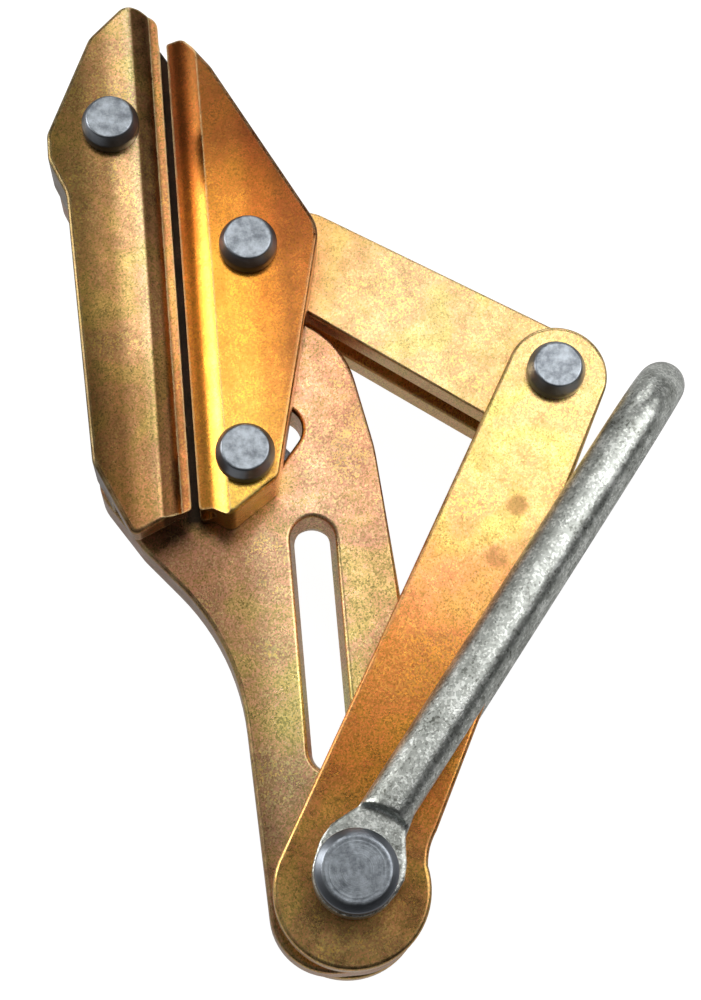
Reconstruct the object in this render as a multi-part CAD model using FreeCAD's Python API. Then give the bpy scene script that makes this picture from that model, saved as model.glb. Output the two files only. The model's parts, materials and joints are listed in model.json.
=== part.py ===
import FreeCAD, Part
import math
import os

# Self-gripping wire clamp, lying flat, in millimetres.
# X points across the jaws, Y runs along the conductor, Z is the thickness.
# The origin is the middle of the conductor groove, on its axis.

# Driving dimensions: the conductor and the two jaws
GROOVE_RADIUS = 4.0
JAW_GAP = 1.6
JAW_FACE = 18.0
GROOVE_RISE = 11.0
FIXED_JAW_TOP = 61.2
FIXED_JAW_FOOT = -58.2
FIXED_JAW_WIDTH = 25.6
FIXED_JAW_SHELF = 5.0
MOVING_JAW_TOP = 53.0
MOVING_JAW_FOOT = -55.3
MOVING_JAW_WIDTH = 30.0
VALLEY_DEPTH = 2.6
FIXED_LAND_WIDTH = 1.9
FIXED_SLOPE_WIDTH = 3.4
MOVING_VALLEY_WIDTH = 6.2

# Driving dimensions: plates and running gaps
BODY_THICKNESS = 11.0
LINK_PLATE_THICKNESS = 6.0
LINK_PLATE_SPACING = 6.4
LEVER_PLATE_THICKNESS = 6.0
BAIL_EYE_THICKNESS = 6.0
FACE_GAP = 0.3
PIN_GAP = 0.05
GUIDE_GAP = 0.1
LOOSE_GAP = 0.32
EDGE_ROUND = 0.9
SMALL_ROUND = 0.5

# Driving dimensions: places of the pins
JAW_RIVET_X = -12.0
JAW_RIVET_Y = 31.8
LINK_PIN_X = 14.8
LINK_PIN_Y = 2.4
GUIDE_PIN_X = 10.8
GUIDE_PIN_Y = -43.0
MAIN_PIN_X = 25.3
MAIN_PIN_Y = -128.1
LEVER_LENGTH = 111.0
LEVER_ANGLE = 62.9
GUIDE_ANGLE = 51.0
GUIDE_TRAVEL = 12.0

# Driving dimensions: pins, heads, bushes and washers
JAW_RIVET_RADIUS = 4.75
MAIN_PIN_RADIUS = 6.0
LEVER_PIN_RADIUS = 5.0
HEAD_RADIUS = 6.0
HEAD_FACE_RADIUS = 4.5
HEAD_WALL = 2.3
HEAD_CONE = 2.5
MAIN_HEAD_RADIUS = 8.4
MAIN_HEAD_FACE_RADIUS = 7.2
MAIN_HEAD_WALL = 2.8
MAIN_HEAD_CONE = 1.3
WASHER_THICKNESS = 1.5
WASHER_RADIUS = 7.5
GUIDE_WASHER_RADIUS = 12.5
BUSH_RADIUS = 8.0
PUNCH_RADIUS = 0.8
PUNCH_DEPTH = 0.35
DOWEL_RADIUS = 2.5
DOWEL_DEPTH = 4.0

# Driving dimensions: lever, link, body and pull bail
LEVER_TIP_RADIUS = 10.4
LEVER_END_RADIUS = 15.2
LEVER_END_REACH = 2.4
LEVER_SHIFT = 0.5
LEVER_NECK_WIDTH = 11.4
LINK_TIP_RADIUS = 9.6
LINK_EYE_RADIUS = 9.0
LINK_CROWN = 16.6
LINK_WAIST = 4.8
BOSS_RADIUS = 15.1
WINDOW_DRAFT = 1.1
WINDOW_WIDTH = 9.6
WINDOW_TOP = -53.2
WINDOW_FOOT = -106.4
BODY_RIGHT = 41.0
BODY_ARM_RIGHT = 4.0
BODY_EAR_TOP = -9.0
BODY_WAIST_X = 6.3
BODY_WAIST_Y = -78.6
BODY_WAIST_ROUND = 50.0
BAIL_ANGLE = 52.0
BAIL_REACH = 128.5
BAIL_ROD_RADIUS = 5.75
BAIL_EYE_RADIUS = 8.8
BAIL_SHOULDER = 12.3
BAIL_NECK_ROUND = 5.0

# Heights of the plate faces above the mid-plane of the body
BODY_FACE = BODY_THICKNESS / 2
JAW_BACK = BODY_FACE + FACE_GAP
LINK_BACK = LINK_PLATE_SPACING / 2
LINK_FACE = LINK_BACK + LINK_PLATE_THICKNESS
LEVER_BACK = LINK_FACE + FACE_GAP
LEVER_FACE = LEVER_BACK + LEVER_PLATE_THICKNESS
BAIL_BACK = LEVER_FACE + FACE_GAP
BAIL_EYE_FACE = BAIL_BACK + BAIL_EYE_THICKNESS
BAIL_LEG_HEIGHT = BAIL_BACK + BAIL_ROD_RADIUS
VALLEY_FLOOR = JAW_FACE - VALLEY_DEPTH
LIP = JAW_GAP / 2


def polar(start, angle, reach):
    """A point at a distance and an angle, in degrees, from another point."""
    turn = math.radians(angle)
    return (start[0] + reach * math.cos(turn), start[1] + reach * math.sin(turn))


JAW_RIVET = (JAW_RIVET_X, JAW_RIVET_Y)
LINK_PIN = (LINK_PIN_X, LINK_PIN_Y)
GUIDE_PIN = (GUIDE_PIN_X, GUIDE_PIN_Y)
MAIN_PIN = (MAIN_PIN_X, MAIN_PIN_Y)
LEVER_PIN = polar(MAIN_PIN, LEVER_ANGLE, LEVER_LENGTH)
GUIDE_END = polar(GUIDE_PIN, GUIDE_ANGLE, GUIDE_TRAVEL)
END_CENTRE = polar(MAIN_PIN, LEVER_ANGLE + 180, LEVER_END_REACH)
BOSS_CENTRE = END_CENTRE


def vector(point, height=0.0):
    return FreeCAD.Vector(point[0], point[1], height)


def unit(start, end):
    """The direction from one point to another."""
    step = (end[0] - start[0], end[1] - start[1])
    size = math.hypot(step[0], step[1])
    return (step[0] / size, step[1] / size)


def rounded_face(corners):
    """A flat face with straight sides, each corner (x, y, radius) rounded."""
    count = len(corners)
    starts = []
    middles = []
    ends = []
    for place in range(count):
        x, y, radius = corners[place]
        here = (x, y)
        before = corners[place - 1][:2]
        after = corners[(place + 1) % count][:2]
        back = unit(here, before)
        on = unit(here, after)
        cosine = back[0] * on[0] + back[1] * on[1]
        half = math.acos(max(-1.0, min(1.0, cosine))) / 2
        run = radius / math.tan(half)
        bisector = unit((0, 0), (back[0] + on[0], back[1] + on[1]))
        rise = radius / math.sin(half) - radius
        starts.append(FreeCAD.Vector(x + run * back[0], y + run * back[1], 0))
        middles.append(FreeCAD.Vector(x + rise * bisector[0], y + rise * bisector[1], 0))
        ends.append(FreeCAD.Vector(x + run * on[0], y + run * on[1], 0))
    edges = []
    for place in range(count):
        edges.append(Part.Arc(starts[place], middles[place], ends[place]).toShape())
        follow = starts[(place + 1) % count]
        if ends[place].distanceToPoint(follow) > 1e-6:
            edges.append(Part.LineSegment(ends[place], follow).toShape())
    return Part.Face(Part.Wire(edges))


def slab(face, low, high):
    """A flat face made into a plate between two heights."""
    plate = face.copy()
    plate.translate(FreeCAD.Vector(0, 0, low))
    return plate.extrude(FreeCAD.Vector(0, 0, high - low))


def disc(centre, radius, low, high):
    return Part.makeCylinder(radius, high - low, vector(centre, low))


def block(low, high):
    size = [high[axis] - low[axis] for axis in range(3)]
    return Part.makeBox(size[0], size[1], size[2], FreeCAD.Vector(*low))


def oblong(start, end, radius, low, high):
    """A long hole's shape: the space swept by a round pin between two points."""
    run = unit(start, end)
    side = (-run[1] * radius, run[0] * radius)
    first = vector((start[0] + side[0], start[1] + side[1]))
    second = vector((start[0] - side[0], start[1] - side[1]))
    third = vector((end[0] - side[0], end[1] - side[1]))
    fourth = vector((end[0] + side[0], end[1] + side[1]))
    near = vector((start[0] - run[0] * radius, start[1] - run[1] * radius))
    far = vector((end[0] + run[0] * radius, end[1] + run[1] * radius))
    edges = [
        Part.Arc(first, near, second).toShape(),
        Part.LineSegment(second, third).toShape(),
        Part.Arc(third, far, fourth).toShape(),
        Part.LineSegment(fourth, first).toShape(),
    ]
    return slab(Part.Face(Part.Wire(edges)), low, high)


def drafted(start, end, radius, face_radius):
    """Half of a forged window: narrow at the mid-plane and wider at the face."""
    narrow = oblong(start, end, radius, 0, 1)
    wide = oblong(start, end, face_radius, BODY_FACE, BODY_FACE + 1)
    rings = []
    for shape, height in ((narrow, 0), (wide, BODY_FACE)):
        for face in shape.Faces:
            box = face.BoundBox
            if abs(box.ZMin - height) < 1e-4 and abs(box.ZMax - height) < 1e-4:
                rings.append(face.OuterWire)
    return Part.makeLoft(rings, True, True).fuse(wide)


def rims(shape, heights):
    """The edges of a plate that lie wholly in one of its faces."""
    found = []
    for edge in shape.Edges:
        box = edge.BoundBox
        for height in heights:
            if abs(box.ZMin - height) < 1e-4 and abs(box.ZMax - height) < 1e-4:
                found.append(edge)
    return found


def soften(shape, heights, radius):
    """Rounds the rims of a plate at the given heights."""
    return shape.makeFillet(radius, rims(shape, heights))


def mirrored(shape):
    """The same piece on the back of the body."""
    return shape.mirror(FreeCAD.Vector(0, 0, 0), FreeCAD.Vector(0, 0, 1))


def fixed_jaw():
    """The jaw that is riveted to the body: a forged block with an overhanging foot."""
    foot = FIXED_JAW_FOOT
    corners = [
        (-LIP, foot + 5.4, 0.8),
        (-LIP, FIXED_JAW_TOP - 3.4, 3.0),
        (-7.4, FIXED_JAW_TOP, 3.0),
        (-15.6, FIXED_JAW_TOP - 7.8, 6.0),
        (-FIXED_JAW_WIDTH, JAW_RIVET_Y - 0.6, 4.0),
        (-FIXED_JAW_WIDTH, JAW_RIVET_Y - 6.4, 5.0),
        (-22.2, JAW_RIVET_Y - 14.6, 8.0),
        (-19.9, foot + 16.2, 3.0),
        (-12.6, foot, 1.6),
    ]
    jaw = soften(slab(rounded_face(corners), BODY_FACE, JAW_FACE), [JAW_FACE], EDGE_ROUND)
    slope_end = -LIP - FIXED_LAND_WIDTH
    slope_start = slope_end - FIXED_SLOPE_WIDTH
    crest = slope_start - 1.0
    section = [
        (crest, JAW_FACE),
        (slope_end, VALLEY_FLOOR + 0.3),
        (1.0, VALLEY_FLOOR),
        (1.0, JAW_FACE + 1),
        (crest, JAW_FACE + 1),
    ]
    swell = ((crest + slope_end) / 2 + 0.4, JAW_FACE - 0.28 * VALLEY_DEPTH)
    jaw = jaw.cut(trough(section, FIXED_JAW_FOOT - 1, FIXED_JAW_TOP + 1, swell))
    shelf_low = (-FIXED_JAW_WIDTH - 1, foot - 1, BODY_FACE - 1)
    shelf_high = (1.0, foot + 9.0, JAW_FACE - FIXED_JAW_SHELF)
    jaw = jaw.cut(block(shelf_low, shelf_high))
    jaw = jaw.cut(groove())
    jaw = jaw.cut(disc(JAW_RIVET, JAW_RIVET_RADIUS, 0, JAW_FACE + 1))
    for place in dowel_places():
        jaw = jaw.cut(disc(place, DOWEL_RADIUS, BODY_FACE - 1, BODY_FACE + DOWEL_DEPTH))
    return jaw


def trough(section, low, high, hollow=None):
    """A cutter with one section, run along the conductor; hollow bends its first side."""
    corners = [FreeCAD.Vector(x, low, z) for x, z in section]
    corners.append(corners[0])
    sides = [Part.LineSegment(corners[i], corners[i + 1]).toShape() for i in range(len(section))]
    if hollow:
        middle = FreeCAD.Vector(hollow[0], low, hollow[1])
        sides[0] = Part.Arc(corners[0], middle, corners[1]).toShape()
    return Part.Face(Part.Wire(sides)).extrude(FreeCAD.Vector(0, high - low, 0))


def groove():
    """The round channel that the two jaws close on the conductor."""
    low = FIXED_JAW_FOOT - 1
    length = FIXED_JAW_TOP - low + 1
    start = FreeCAD.Vector(0, low, GROOVE_RISE)
    return Part.makeCylinder(GROOVE_RADIUS, length, start, FreeCAD.Vector(0, 1, 0))


def dowel_places():
    """Two blind dowels keep the fixed jaw square to the body."""
    column = JAW_RIVET_X - 1.5
    return [(column, FIXED_JAW_FOOT + 18), (column, (FIXED_JAW_FOOT + JAW_RIVET_Y) / 2 + 8)]


def fixed_jaw_dowels():
    low = BODY_FACE - DOWEL_DEPTH
    high = BODY_FACE + DOWEL_DEPTH - FACE_GAP
    return Part.makeCompound([disc(place, DOWEL_RADIUS, low, high) for place in dowel_places()])


def moving_jaw():
    """The jaw that slides on the face of the body, pocketed for the link plate."""
    foot = MOVING_JAW_FOOT
    top = MOVING_JAW_TOP
    corners = [
        (LIP, foot + 2.3, 0.8),
        (LIP, top - 0.8, 0.8),
        (4.2, top, 2.0),
        (10.0, top - 8.0, 6.0),
        (MOVING_JAW_WIDTH, LINK_PIN_Y + 3.6, 9.0),
        (17.2, foot + 7.3, 3.0),
        (7.0, foot, 2.0),
        (3.6, foot + 2.3, 1.2),
    ]
    jaw = soften(slab(rounded_face(corners), JAW_BACK, JAW_FACE), [JAW_FACE], EDGE_ROUND)
    crease = LIP + MOVING_VALLEY_WIDTH
    hollow = (crease - 0.42 * MOVING_VALLEY_WIDTH, JAW_FACE - 0.76 * VALLEY_DEPTH)
    section = [(crease, JAW_FACE), (-1.0, VALLEY_FLOOR), (-1.0, JAW_FACE + 1), (crease, JAW_FACE + 1)]
    jaw = jaw.cut(trough(section, foot - 1, top + 1, hollow))
    pocket_left = LINK_PIN_X - LINK_EYE_RADIUS - 0.9
    pocket_low = (pocket_left, LINK_PIN_Y - 19.4, JAW_BACK - 1)
    pocket_high = (MOVING_JAW_WIDTH + 1, LINK_PIN_Y + 15.6, LINK_FACE + FACE_GAP)
    jaw = jaw.cut(block(pocket_low, pocket_high))
    jaw = jaw.cut(groove())
    jaw = jaw.cut(disc(LINK_PIN, JAW_RIVET_RADIUS, 0, JAW_FACE + 1))
    return jaw.cut(disc(GUIDE_PIN, JAW_RIVET_RADIUS, 0, JAW_FACE + 1))


def body_plate():
    """The forged body: jaw arm, guide slot, long window and the pin boss."""
    boss_foot = BOSS_CENTRE[1] - BOSS_RADIUS
    corners = [
        (23.4, BODY_EAR_TOP, 6.0),
        (BODY_ARM_RIGHT, BODY_EAR_TOP, 2.0),
        (BODY_ARM_RIGHT, MOVING_JAW_TOP - 5.0, 2.0),
        (-LIP, FIXED_JAW_TOP - 4.6, 2.0),
        (-7.6, FIXED_JAW_TOP - 2.0, 3.0),
        (-15.2, FIXED_JAW_TOP - 9.4, 6.0),
        (-FIXED_JAW_WIDTH + 0.9, JAW_RIVET_Y - 1.0, 4.0),
        (-FIXED_JAW_WIDTH + 0.9, JAW_RIVET_Y - 8.0, 5.0),
        (-21.0, JAW_RIVET_Y - 17.0, 8.0),
        (-19.4, FIXED_JAW_FOOT + 13.0, 8.0),
        (-11.5, FIXED_JAW_FOOT + 0.8, 14.0),
        (BODY_WAIST_X, BODY_WAIST_Y, BODY_WAIST_ROUND),
        (BOSS_CENTRE[0] - BOSS_RADIUS, boss_foot, BOSS_RADIUS - 2.6),
        (BOSS_CENTRE[0] + BOSS_RADIUS - 1.8, boss_foot, BOSS_RADIUS - 2.8),
        (BODY_RIGHT, BODY_WAIST_Y - 3.4, 30.0),
        (38.0, BODY_EAR_TOP - 30.0, 40.0),
        (33.4, BODY_EAR_TOP - 5.4, 20.0),
    ]
    body = slab(rounded_face(corners), -BODY_FACE, BODY_FACE)
    half = WINDOW_WIDTH / 2
    high_end = (MAIN_PIN_X - 1.9, WINDOW_TOP - half)
    low_end = (MAIN_PIN_X - 1.9, WINDOW_FOOT + half)
    window = drafted(low_end, high_end, half - WINDOW_DRAFT, half)
    body = body.cut(window).cut(mirrored(window))
    guide = JAW_RIVET_RADIUS + GUIDE_GAP
    body = body.cut(oblong(GUIDE_PIN, GUIDE_END, guide, -BODY_FACE - 1, BODY_FACE + 1))
    body = soften(body, [-BODY_FACE, BODY_FACE], EDGE_ROUND)
    boss = disc(BOSS_CENTRE, BOSS_RADIUS - EDGE_ROUND, -LINK_FACE, LINK_FACE)
    body = body.fuse(boss.makeFillet(SMALL_ROUND, rims(boss, [-LINK_FACE, LINK_FACE])))
    body = body.cut(disc(MAIN_PIN, MAIN_PIN_RADIUS, -LINK_FACE - 1, LINK_FACE + 1))
    body = body.cut(disc(JAW_RIVET, JAW_RIVET_RADIUS, -BODY_FACE - 1, BODY_FACE + 1))
    for place in dowel_places():
        body = body.cut(disc(place, DOWEL_RADIUS, BODY_FACE - DOWEL_DEPTH, BODY_FACE + 1))
    return body


def link_plate():
    """One of the two link plates that join the moving jaw to the lever."""
    along = unit(LINK_PIN, LEVER_PIN)
    across = (-along[1], along[0])

    def place(run, rise, radius):
        x = LINK_PIN[0] + run * along[0] + rise * across[0]
        y = LINK_PIN[1] + run * along[1] + rise * across[1]
        return (x, y, radius)

    length = math.dist(LINK_PIN, LEVER_PIN)
    eye = LINK_EYE_RADIUS
    tip = LINK_TIP_RADIUS
    corners = [
        place(-eye, -eye + 1.0, 7.0),
        place(3.0, -eye + 0.4, 4.0),
        place(12.5, -LINK_WAIST, 6.0),
        place(length + tip, -LINK_WAIST - 10.2, tip - 1.4),
        place(length + tip, tip + 1.0, tip - 1.4),
        place(eye - 1.0, LINK_CROWN, 9.0),
        place(-eye, eye, 8.0),
    ]
    plate = slab(rounded_face(corners), LINK_BACK, LINK_FACE)
    plate = soften(plate, [LINK_BACK, LINK_FACE], SMALL_ROUND)
    plate = plate.cut(disc(LINK_PIN, JAW_RIVET_RADIUS + PIN_GAP, 0, LINK_FACE + 1))
    return plate.cut(disc(LEVER_PIN, LEVER_PIN_RADIUS + LOOSE_GAP, 0, LINK_FACE + 1))


def lever_plate():
    """One of the two lever plates, tapered from the main pin to the link pin."""
    right = LEVER_ANGLE - 90
    end = polar(END_CENTRE, right, LEVER_SHIFT)
    tip = polar(LEVER_PIN, right, LEVER_SHIFT)
    taper = math.degrees(math.asin((LEVER_END_RADIUS - LEVER_TIP_RADIUS) / math.dist(end, tip)))
    end_left = polar(end, LEVER_ANGLE + 90 + taper, LEVER_END_RADIUS)
    tip_left = polar(tip, LEVER_ANGLE + 90 + taper, LEVER_TIP_RADIUS)
    tip_top = polar(tip, LEVER_ANGLE, LEVER_TIP_RADIUS)
    tip_right = polar(tip, right, LEVER_TIP_RADIUS)
    end_foot = polar(end, LEVER_ANGLE + 180, LEVER_END_RADIUS)
    end_right = polar(end, 12, LEVER_END_RADIUS)
    neck = polar(polar(MAIN_PIN, LEVER_ANGLE, 14.0), right, LEVER_NECK_WIDTH)
    waist = polar(polar(MAIN_PIN, LEVER_ANGLE, 10.4), right, LEVER_NECK_WIDTH)
    edges = [
        Part.LineSegment(vector(end_left), vector(tip_left)).toShape(),
        Part.Arc(vector(tip_left), vector(tip_top), vector(tip_right)).toShape(),
        Part.LineSegment(vector(tip_right), vector(neck)).toShape(),
        Part.Arc(vector(neck), vector(waist), vector(end_right)).toShape(),
        Part.Arc(vector(end_right), vector(end_foot), vector(end_left)).toShape(),
    ]
    plate = slab(Part.Face(Part.Wire(edges)), LEVER_BACK, LEVER_FACE)
    plate = soften(plate, [LEVER_BACK, LEVER_FACE], EDGE_ROUND)
    plate = plate.cut(disc(MAIN_PIN, MAIN_PIN_RADIUS + PIN_GAP, 0, LEVER_FACE + 1))
    return plate.cut(disc(LEVER_PIN, LEVER_PIN_RADIUS, 0, LEVER_FACE + 1))


def pull_bail():
    """The round bar bent to a U, its two ends flattened to eyes on the main pin."""
    start = BAIL_SHOULDER - 3.0
    leg = BAIL_REACH - BAIL_ROD_RADIUS - BAIL_LEG_HEIGHT
    rise = BAIL_LEG_HEIGHT
    first = FreeCAD.Vector(start, 0, rise)
    bend_in = FreeCAD.Vector(leg, 0, rise)
    crown = FreeCAD.Vector(leg + rise, 0, 0)
    bend_out = FreeCAD.Vector(leg, 0, -rise)
    last = FreeCAD.Vector(start, 0, -rise)
    path = Part.Wire([
        Part.LineSegment(first, bend_in).toShape(),
        Part.Arc(bend_in, crown, bend_out).toShape(),
        Part.LineSegment(bend_out, last).toShape(),
    ])
    ring = Part.makeCircle(BAIL_ROD_RADIUS, first, FreeCAD.Vector(1, 0, 0))
    rod = path.makePipeShell([Part.Wire(ring)], True, False)
    neck_half = BAIL_ROD_RADIUS - 0.6
    eye = disc((0, 0), BAIL_EYE_RADIUS, BAIL_BACK, BAIL_EYE_FACE)
    eye = eye.fuse(block((0, -neck_half, BAIL_BACK), (BAIL_SHOULDER + 3, neck_half, BAIL_EYE_FACE)))
    eye = eye.removeSplitter()
    joins = []
    for edge in eye.Edges:
        box = edge.BoundBox
        upright = box.ZLength > BAIL_EYE_THICKNESS / 2 and box.XLength < 1e-4
        if upright and 1 < box.XMin < BAIL_EYE_RADIUS:
            joins.append(edge)
    eye = eye.makeFillet(BAIL_NECK_ROUND, joins)
    pieces = [eye, mirrored(eye)]
    bail = rod
    for side in (1, -1):
        low = BAIL_EYE_FACE if side > 0 else -BAIL_LEG_HEIGHT - BAIL_ROD_RADIUS - 1
        high = BAIL_LEG_HEIGHT + BAIL_ROD_RADIUS + 1 if side > 0 else -BAIL_EYE_FACE
        bail = bail.cut(disc((0, 0), BAIL_SHOULDER + 0.6, low, high))
    for piece in pieces:
        bail = bail.fuse(piece)
    hole = disc((0, 0), MAIN_PIN_RADIUS + PIN_GAP, -BAIL_EYE_FACE - 1, BAIL_EYE_FACE + 1)
    bail = bail.cut(hole).removeSplitter()
    bail.rotate(FreeCAD.Vector(0, 0, 0), FreeCAD.Vector(0, 0, 1), BAIL_ANGLE)
    bail.translate(vector(MAIN_PIN))
    return bail


def head(centre, seat, radius, face_radius, wall, cone):
    """A rivet head: a short round wall, a cone and a flat face."""
    points = [
        FreeCAD.Vector(0, 0, 0),
        FreeCAD.Vector(radius - 0.3, 0, 0),
        FreeCAD.Vector(radius, 0, 0.3),
        FreeCAD.Vector(radius, 0, wall),
        FreeCAD.Vector(face_radius + 0.2, 0, wall + cone - 0.15),
        FreeCAD.Vector(face_radius - 0.3, 0, wall + cone),
        FreeCAD.Vector(PUNCH_RADIUS, 0, wall + cone),
        FreeCAD.Vector(0, 0, wall + cone - PUNCH_DEPTH),
        FreeCAD.Vector(0, 0, 0),
    ]
    profile = Part.Face(Part.makePolygon(points))
    turned = profile.revolve(FreeCAD.Vector(0, 0, 0), FreeCAD.Vector(0, 0, 1), 360)
    turned.translate(vector(centre, seat))
    return turned


def rivet(centre, radius, back_seat, front_seat, back_washer):
    """A headed pin from its front head to the head closed over its back washer."""
    back = back_seat - back_washer
    front_head = head(centre, front_seat, HEAD_RADIUS, HEAD_FACE_RADIUS, HEAD_WALL, HEAD_CONE)
    closed = head((0, 0), 0, HEAD_RADIUS, HEAD_FACE_RADIUS, 0.8, HEAD_CONE - 0.6)
    back_head = mirrored(closed)
    back_head.translate(vector(centre, back))
    shank = disc(centre, radius, back, front_seat)
    return shank.fuse([front_head, back_head]).removeSplitter()


def washer(centre, hole_radius, seat, radius=WASHER_RADIUS):
    ring = disc(centre, radius, seat - WASHER_THICKNESS, seat)
    ring = soften(ring, [seat - WASHER_THICKNESS], 0.3)
    return ring.cut(disc(centre, hole_radius, seat - WASHER_THICKNESS - 1, seat + 1))


def bush(centre, hole_radius):
    """A distance bush between the two link plates."""
    half = LINK_BACK
    ring = disc(centre, BUSH_RADIUS, -half, half)
    return ring.cut(disc(centre, hole_radius, -half - 1, half + 1))


def main_pin():
    """The main pin: pressed in the boss, with the lever and the bail turning on it."""
    seat = BAIL_EYE_FACE + FACE_GAP
    front = head(MAIN_PIN, seat, MAIN_HEAD_RADIUS, MAIN_HEAD_FACE_RADIUS, MAIN_HEAD_WALL, MAIN_HEAD_CONE)
    back = -seat - WASHER_THICKNESS
    closed = mirrored(head((0, 0), 0, MAIN_HEAD_RADIUS, MAIN_HEAD_FACE_RADIUS, 0.8, 1.6))
    closed.translate(vector(MAIN_PIN, back))
    shank = disc(MAIN_PIN, MAIN_PIN_RADIUS, back, seat)
    return shank.fuse([front, closed]).removeSplitter()


def main_washer():
    seat = -BAIL_EYE_FACE - FACE_GAP
    ring = disc(MAIN_PIN, MAIN_HEAD_RADIUS + 0.8, seat - WASHER_THICKNESS, seat)
    return ring.cut(disc(MAIN_PIN, MAIN_PIN_RADIUS, seat - WASHER_THICKNESS - 1, seat + 1))


def save(name, shape):
    """Writes one sub-part, with the groove axis brought to the origin."""
    placed = shape.copy()
    placed.translate(FreeCAD.Vector(0, 0, -GROOVE_RISE))
    placed.exportStep("parts/" + name + ".step")
    solids = len(placed.Solids)
    print(name, "solids", solids, "volume", round(placed.Volume, 1), "valid", placed.isValid())


def main():
    os.makedirs("parts", exist_ok=True)
    guide_seat = -BODY_FACE - FACE_GAP
    link = link_plate()
    lever = lever_plate()
    save("body_plate", body_plate())
    save("fixed_jaw", fixed_jaw())
    save("fixed_jaw_dowels", fixed_jaw_dowels())
    save("fixed_jaw_rivet", rivet(JAW_RIVET, JAW_RIVET_RADIUS, -BODY_FACE, JAW_FACE, WASHER_THICKNESS))
    save("fixed_jaw_washer", washer(JAW_RIVET, JAW_RIVET_RADIUS, -BODY_FACE))
    save("moving_jaw", moving_jaw())
    save("link_jaw_pin", rivet(LINK_PIN, JAW_RIVET_RADIUS, -LINK_FACE - FACE_GAP, JAW_FACE, WASHER_THICKNESS))
    save("link_jaw_washer", washer(LINK_PIN, JAW_RIVET_RADIUS, -LINK_FACE - FACE_GAP))
    save("link_jaw_bush", bush(LINK_PIN, JAW_RIVET_RADIUS + PIN_GAP))
    save("guide_pin", rivet(GUIDE_PIN, JAW_RIVET_RADIUS, guide_seat, JAW_FACE, WASHER_THICKNESS))
    save("guide_washer", washer(GUIDE_PIN, JAW_RIVET_RADIUS, guide_seat, GUIDE_WASHER_RADIUS))
    save("link_plate_front", link)
    save("link_plate_rear", mirrored(link))
    save("lever_plate_front", lever)
    save("lever_plate_rear", mirrored(lever))
    save("lever_link_pin", rivet(LEVER_PIN, LEVER_PIN_RADIUS, -LEVER_FACE, LEVER_FACE, WASHER_THICKNESS))
    save("lever_link_washer", washer(LEVER_PIN, LEVER_PIN_RADIUS, -LEVER_FACE))
    save("lever_link_bush", bush(LEVER_PIN, LEVER_PIN_RADIUS + LOOSE_GAP))
    save("main_pin", main_pin())
    save("main_pin_washer", main_washer())
    save("pull_bail", pull_bail())


main()
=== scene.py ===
# %% [markdown]
# # A self-gripping wire clamp, seen from above
# The CAD frame brings every forged and turned piece at its real size. This
# lesson adds what the camera sees: passivated zinc plating that drifts from
# olive to gold to pink, bare turned rivet heads, a galvanised bar, and a soft
# studio. The scene is in metres and +Z points out of the face with the jaws.

import json
import math

import bpy
from mathutils import Matrix, Vector

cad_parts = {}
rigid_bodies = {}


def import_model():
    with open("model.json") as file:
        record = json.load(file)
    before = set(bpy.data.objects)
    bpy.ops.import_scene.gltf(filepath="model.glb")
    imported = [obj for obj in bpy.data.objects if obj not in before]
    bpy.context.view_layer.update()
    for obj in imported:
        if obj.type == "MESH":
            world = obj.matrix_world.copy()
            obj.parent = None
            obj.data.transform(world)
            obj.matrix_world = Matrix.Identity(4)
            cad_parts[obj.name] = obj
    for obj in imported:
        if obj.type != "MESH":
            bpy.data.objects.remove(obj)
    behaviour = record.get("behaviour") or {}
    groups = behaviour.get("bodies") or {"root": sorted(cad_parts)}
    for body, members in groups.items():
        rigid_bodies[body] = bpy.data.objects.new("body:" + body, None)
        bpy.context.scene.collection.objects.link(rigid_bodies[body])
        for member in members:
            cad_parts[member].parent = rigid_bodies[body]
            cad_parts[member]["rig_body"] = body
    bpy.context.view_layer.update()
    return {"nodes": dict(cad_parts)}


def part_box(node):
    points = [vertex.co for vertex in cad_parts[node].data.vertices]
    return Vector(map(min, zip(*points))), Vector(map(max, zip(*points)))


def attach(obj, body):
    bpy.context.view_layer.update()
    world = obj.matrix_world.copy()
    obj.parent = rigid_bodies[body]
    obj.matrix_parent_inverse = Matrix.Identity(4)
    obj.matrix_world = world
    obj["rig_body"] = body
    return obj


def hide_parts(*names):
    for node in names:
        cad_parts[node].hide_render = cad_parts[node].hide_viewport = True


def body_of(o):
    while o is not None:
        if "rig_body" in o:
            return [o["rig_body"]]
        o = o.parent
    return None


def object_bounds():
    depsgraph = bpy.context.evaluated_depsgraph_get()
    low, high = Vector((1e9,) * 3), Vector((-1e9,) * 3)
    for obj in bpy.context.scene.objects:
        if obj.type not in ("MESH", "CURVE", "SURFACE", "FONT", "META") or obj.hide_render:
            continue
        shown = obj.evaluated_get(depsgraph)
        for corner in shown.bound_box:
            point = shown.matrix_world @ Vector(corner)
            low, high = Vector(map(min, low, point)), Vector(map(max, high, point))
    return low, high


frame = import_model()
nodes = frame["nodes"]

# %% [markdown]
# ## Places and sizes from the frame
# Sections and colour lines are easier to think about in millimetres, so they
# are written that way, and MM turns them into metres. Where a new piece has to
# meet the CAD, its place is read from the frame's boxes and not typed.

# %% Millimetres and middles
MM = 0.001


def middle_of(node):
    """The middle of a node's box, in millimetres."""
    low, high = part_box(node)
    return [(low[axis] + high[axis]) / 2 / MM for axis in range(3)]


def in_plane(x, y):
    """A point on the plane z = 0, from millimetres to metres."""
    return (x * MM, y * MM, 0.0)


MIDDLE_PLANE = middle_of("body_plate")[2]
MAIN_AXIS = middle_of("main_pin")[:2]
print("body's middle plane", round(MIDDLE_PLANE, 3), "main pin", [round(v, 3) for v in MAIN_AXIS])

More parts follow.
